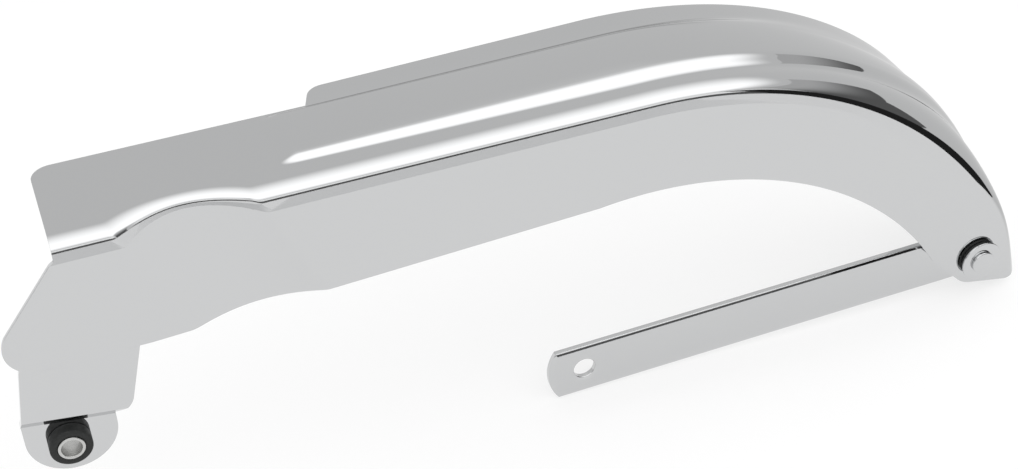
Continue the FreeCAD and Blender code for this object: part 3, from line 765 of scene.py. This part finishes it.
def screen_material():
    """Dark, and paler toward its top."""
    made, tree, emission = glow("studio_screen", SCREEN_LEVELS[0])
    risen = ease(tree, place_axes(tree)["Z"], SCREEN_RISE)
    tree.links.new(between(tree, risen, *SCREEN_LEVELS), emission.inputs["Strength"])
    return made


def table_material():
    """Matt white that keeps shadows; to seen rays mostly plain white, and wholly so far from the part.

    To the metal it sinks to the walls' level behind and to the right of the part.
    """
    made, tree, shader = material("table", TABLE_COLOUR)
    shader.inputs["Roughness"].default_value = TABLE_ROUGHNESS
    shader.inputs["Specular IOR Level"].default_value = 0.0
    axes = place_axes(tree)
    away = math_node(tree, "SUBTRACT", axes["X"], middle_x)
    squares = [math_node(tree, "POWER", side, 2.0) for side in (away, axes["Y"])]
    far = ease(tree, math_node(tree, "SQRT", math_node(tree, "ADD", *squares)), TABLE_FAR)
    behind = ease(tree, math_node(tree, "ADD", axes["X"], axes["Y"]), TABLE_BEHIND)
    camera_ray = tree.nodes.new("ShaderNodeLightPath").outputs["Is Camera Ray"]
    sunk = product(tree, behind, math_node(tree, "SUBTRACT", 1.0, camera_ray))
    plain = between(tree, math_node(tree, "MAXIMUM", far, sunk), TABLE_GLOW, 1.0)
    emission = tree.nodes.new("ShaderNodeEmission")
    tree.links.new(between(tree, sunk, 1.0, WALL_LEVEL), emission.inputs["Strength"])
    mix = tree.nodes.new("ShaderNodeMixShader")
    tree.links.new(product(tree, seen_rays(tree), plain), mix.inputs["Fac"])
    tree.links.new(shader.outputs[0], mix.inputs[1])
    tree.links.new(emission.outputs[0], mix.inputs[2])
    tree.links.new(mix.outputs[0], tree.nodes["Material Output"].inputs["Surface"])
    return made


def ring(z):
    """The room's outline at a height."""
    turns = [math.tau * i / ROOM_STEPS for i in range(ROOM_STEPS)]
    return [(ROOM_RADIUS * math.sin(a), ROOM_RADIUS * math.cos(a), z) for a in turns]


def studio_wall():
    """The round wall, from the room's floor to its ceiling."""
    following = [(i + 1) % ROOM_STEPS for i in range(ROOM_STEPS)]
    faces = [(i, j, ROOM_STEPS + j, ROOM_STEPS + i) for i, j in enumerate(following)]
    stage_piece("studio_wall", ring(floor_z) + ring(CEILING_HEIGHT), wall_material(), faces)


def reflected_cards():
    """Dark cards that only metal sees: a flag beside the wrap, and a screen at the right of the room."""
    flag = [(*FLAG_FROM, table_top), (*FLAG_TO, table_top), (*FLAG_TO, table_top + FLAG_HIGH),
            (*FLAG_FROM, table_top + FLAG_LOW)]
    screen = [(SCREEN_BACK, SCREEN_TOP), *SCREEN_FOOT, (SCREEN_FRONT, SCREEN_TOP)]
    for card in (stage_piece("studio_flag", flag, glow("studio_flag", FLAG_LEVEL)[0]),
                 stage_piece("studio_screen", [(SCREEN_X, *spot) for spot in screen], screen_material())):
        card.visible_shadow = card.visible_diffuse = False


studio_wall()
stage_piece("studio_floor", ring(floor_z), glow("studio_floor", DARK_LEVEL)[0])
stage_piece("studio_ceiling", ring(CEILING_HEIGHT), ceiling_material())
reflected_cards()
table_corners = [(-ROOM_RADIUS, TABLE_FRONT), (ROOM_RADIUS, TABLE_FRONT), (ROOM_RADIUS, ROOM_RADIUS),
                 (-ROOM_RADIUS, ROOM_RADIUS)]
stage_piece("floor", [(*corner, table_top) for corner in table_corners], table_material(), seen=True)

world = bpy.data.worlds.new("studio")
scene.world = world
world.use_nodes = True
background = world.node_tree.nodes["Background"]
background.inputs["Color"].default_value = (1, 1, 1, 1)
world_level = between(world.node_tree, seen_rays(world.node_tree), WALL_LEVEL, 1.0)
world.node_tree.links.new(world_level, background.inputs["Strength"])

# Camera at the photograph's place

SENSOR, LENS, CLIP_NEAR, CLIP_FAR = 36.0, 60.83, 0.01, 50
CAMERA_PLACE = (0.00013, -0.51848, 0.46380)
CAMERA_RIGHT = (0.93269, -0.35899, -0.03491)
CAMERA_UP = (0.24258, 0.55270, 0.79729)
CAMERA_BACK = (-0.26693, -0.75209, 0.60258)

camera = new_object("camera", bpy.data.cameras.new("camera"))
scene.camera = camera
camera.data.sensor_width, camera.data.lens = SENSOR, LENS
camera.data.clip_start, camera.data.clip_end = CLIP_NEAR, CLIP_FAR
turn = Matrix((CAMERA_RIGHT, CAMERA_UP, CAMERA_BACK)).transposed().to_4x4()
camera.matrix_world = Matrix.Translation(CAMERA_PLACE) @ turn
